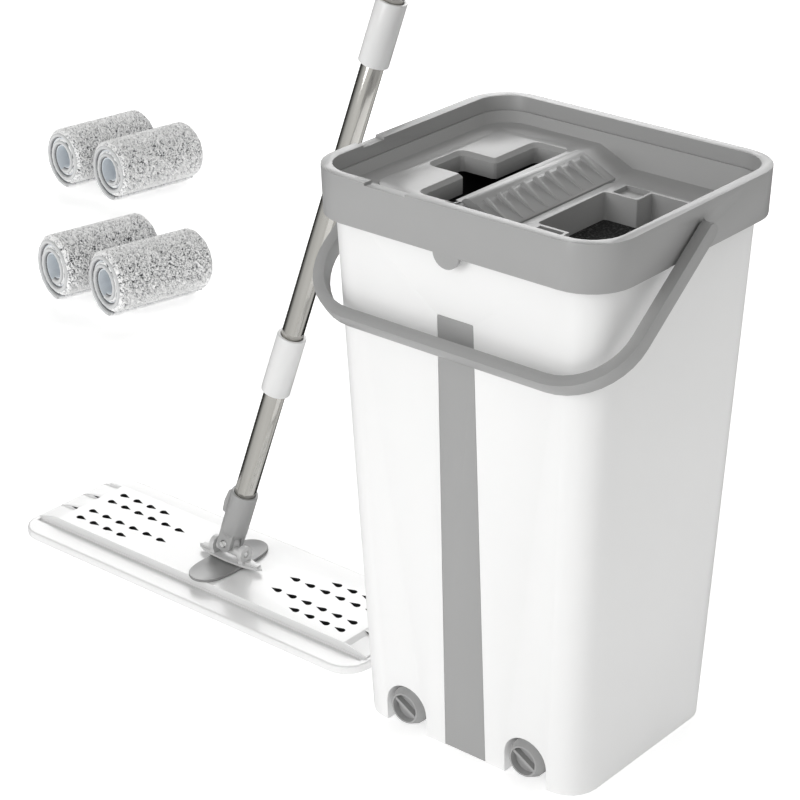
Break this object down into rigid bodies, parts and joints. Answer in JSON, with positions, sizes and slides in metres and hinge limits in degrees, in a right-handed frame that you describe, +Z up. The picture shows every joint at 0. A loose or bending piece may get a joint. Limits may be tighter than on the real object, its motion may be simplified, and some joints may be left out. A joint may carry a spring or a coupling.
{
  "type": "flat mop and bucket with wringer",
  "caption": "Tall tapered bucket with lift-out wringer insert and swing handle, a flat mop on a jointed steel pole, and rolled spare pads.",
  "frame": {"origin": "on the floor, at the middle of the footprint of the whole set", "axes": "+Z up; the bucket front, with its drain knobs and swing handle, faces -Y; the mop lies on the -X side of the bucket"},
  "size_m": [1.1456, 0.705, 1.2121],
  "materials": {
    "white_plastic": "satin white polypropylene",
    "grey_plastic": "satin mid-grey plastic",
    "pale_grey_plastic": "satin pale grey plastic",
    "dark_plastic": "matt black plastic",
    "rubber": "black rubber",
    "filter_foam": "open-cell black foam, dull and granular",
    "gloss_white_plastic": "glossy white plastic",
    "polished_steel": "polished stainless steel tube",
    "chrome": "bright plated pin",
    "microfibre": "mottled grey and white microfibre pile",
    "hook_tape": "black hook tape"
  },
  "bodies": {
    "bucket": {"bucket_body": "white_plastic", "front_strip": "grey_plastic", "chamber_divider": "white_plastic", "rim_collar": "grey_plastic", "drain_seat_left": "grey_plastic", "drain_seat_right": "grey_plastic", "drain_seal_left": "rubber", "drain_seal_right": "rubber"},
    "drain_plug_left": {"drain_knob_left": "grey_plastic"},
    "drain_plug_right": {"drain_knob_right": "grey_plastic"},
    "wringer": {"wringer_tray": "pale_grey_plastic", "wringing_ramp": "pale_grey_plastic", "wringer_chute": "dark_plastic", "scraper_blade_left": "rubber", "scraper_blade_right": "rubber", "filter_pad": "filter_foam"},
    "handle": {"bail_handle": "grey_plastic", "handle_pin_left": "grey_plastic", "handle_pin_right": "grey_plastic"},
    "mop_head": {"plate_base": "gloss_white_plastic", "plate_deck": "gloss_white_plastic", "hook_strip_left": "hook_tape", "hook_strip_right": "hook_tape", "joint_leaf": "grey_plastic", "joint_base": "pale_grey_plastic", "yoke_pin": "chrome"},
    "cross_block": {"yoke": "pale_grey_plastic"},
    "pole": {"pole_socket": "grey_plastic", "socket_clip": "grey_plastic", "pivot_rivet": "chrome", "tube_lower": "polished_steel", "tube_middle": "polished_steel", "tube_upper": "polished_steel", "tube_high": "polished_steel", "tube_top": "polished_steel", "connector_lower": "white_plastic", "connector_middle": "white_plastic", "connector_upper": "white_plastic", "connector_high": "white_plastic", "pole_grip": "grey_plastic", "hanging_cap": "grey_plastic"},
    "pad_front_left": {"pad_front_left": "microfibre"},
    "pad_front_right": {"pad_front_right": "microfibre"},
    "pad_back_left": {"pad_back_left": "microfibre"},
    "pad_back_right": {"pad_back_right": "microfibre"}
  },
  "joints": [
    {"name": "handle_swing", "type": "hinge", "parent": "bucket", "child": "handle", "pos_m": [0.44956, -0.24611, 0.3784], "axis": [-1, 0, 0], "range_deg": [0, 254.2]},
    {"name": "drain_turn_left", "type": "hinge", "parent": "bucket", "child": "drain_plug_left", "pos_m": [0.39956, -0.32081, 0.0165], "axis": [0, -1, 0], "range_deg": [0, 90]},
    {"name": "drain_turn_right", "type": "hinge", "parent": "bucket", "child": "drain_plug_right", "pos_m": [0.49956, -0.32081, 0.0165], "axis": [0, -1, 0], "range_deg": [0, 90]},
    {"name": "wringer_lift", "type": "slide", "parent": "bucket", "child": "wringer", "axis": [0, 0, 1], "range_m": [0, 0.145]},
    {"name": "mop_lift", "type": "slide", "parent": "bucket", "child": "mop_head", "axis": [-0.5, 0, 0.866], "range_m": [0, 0.45]},
    {"name": "yoke_tilt", "type": "hinge", "parent": "mop_head", "child": "cross_block", "pos_m": [0.16386, -0.24651, 0.0235], "axis": [1, 0, 0], "range_deg": [-39.3, 50.7]},
    {"name": "pole_tilt", "type": "hinge", "parent": "cross_block", "child": "pole", "pos_m": [0.16386, -0.24591, 0.02947], "axis": [0, 0.9951, -0.0993], "range_deg": [-54.2, 5.5]},
    {"name": "pad_front_left_lift", "type": "slide", "parent": "bucket", "child": "pad_front_left", "axis": [0, 0, 1], "range_m": [0, 0.1]},
    {"name": "pad_front_right_lift", "type": "slide", "parent": "bucket", "child": "pad_front_right", "axis": [0, 0, 1], "range_m": [0, 0.1]},
    {"name": "pad_back_left_lift", "type": "slide", "parent": "bucket", "child": "pad_back_left", "axis": [0, 0, 1], "range_m": [0, 0.1]},
    {"name": "pad_back_right_lift", "type": "slide", "parent": "bucket", "child": "pad_back_right", "axis": [0, 0, 1], "range_m": [0, 0.1]}
  ]
}
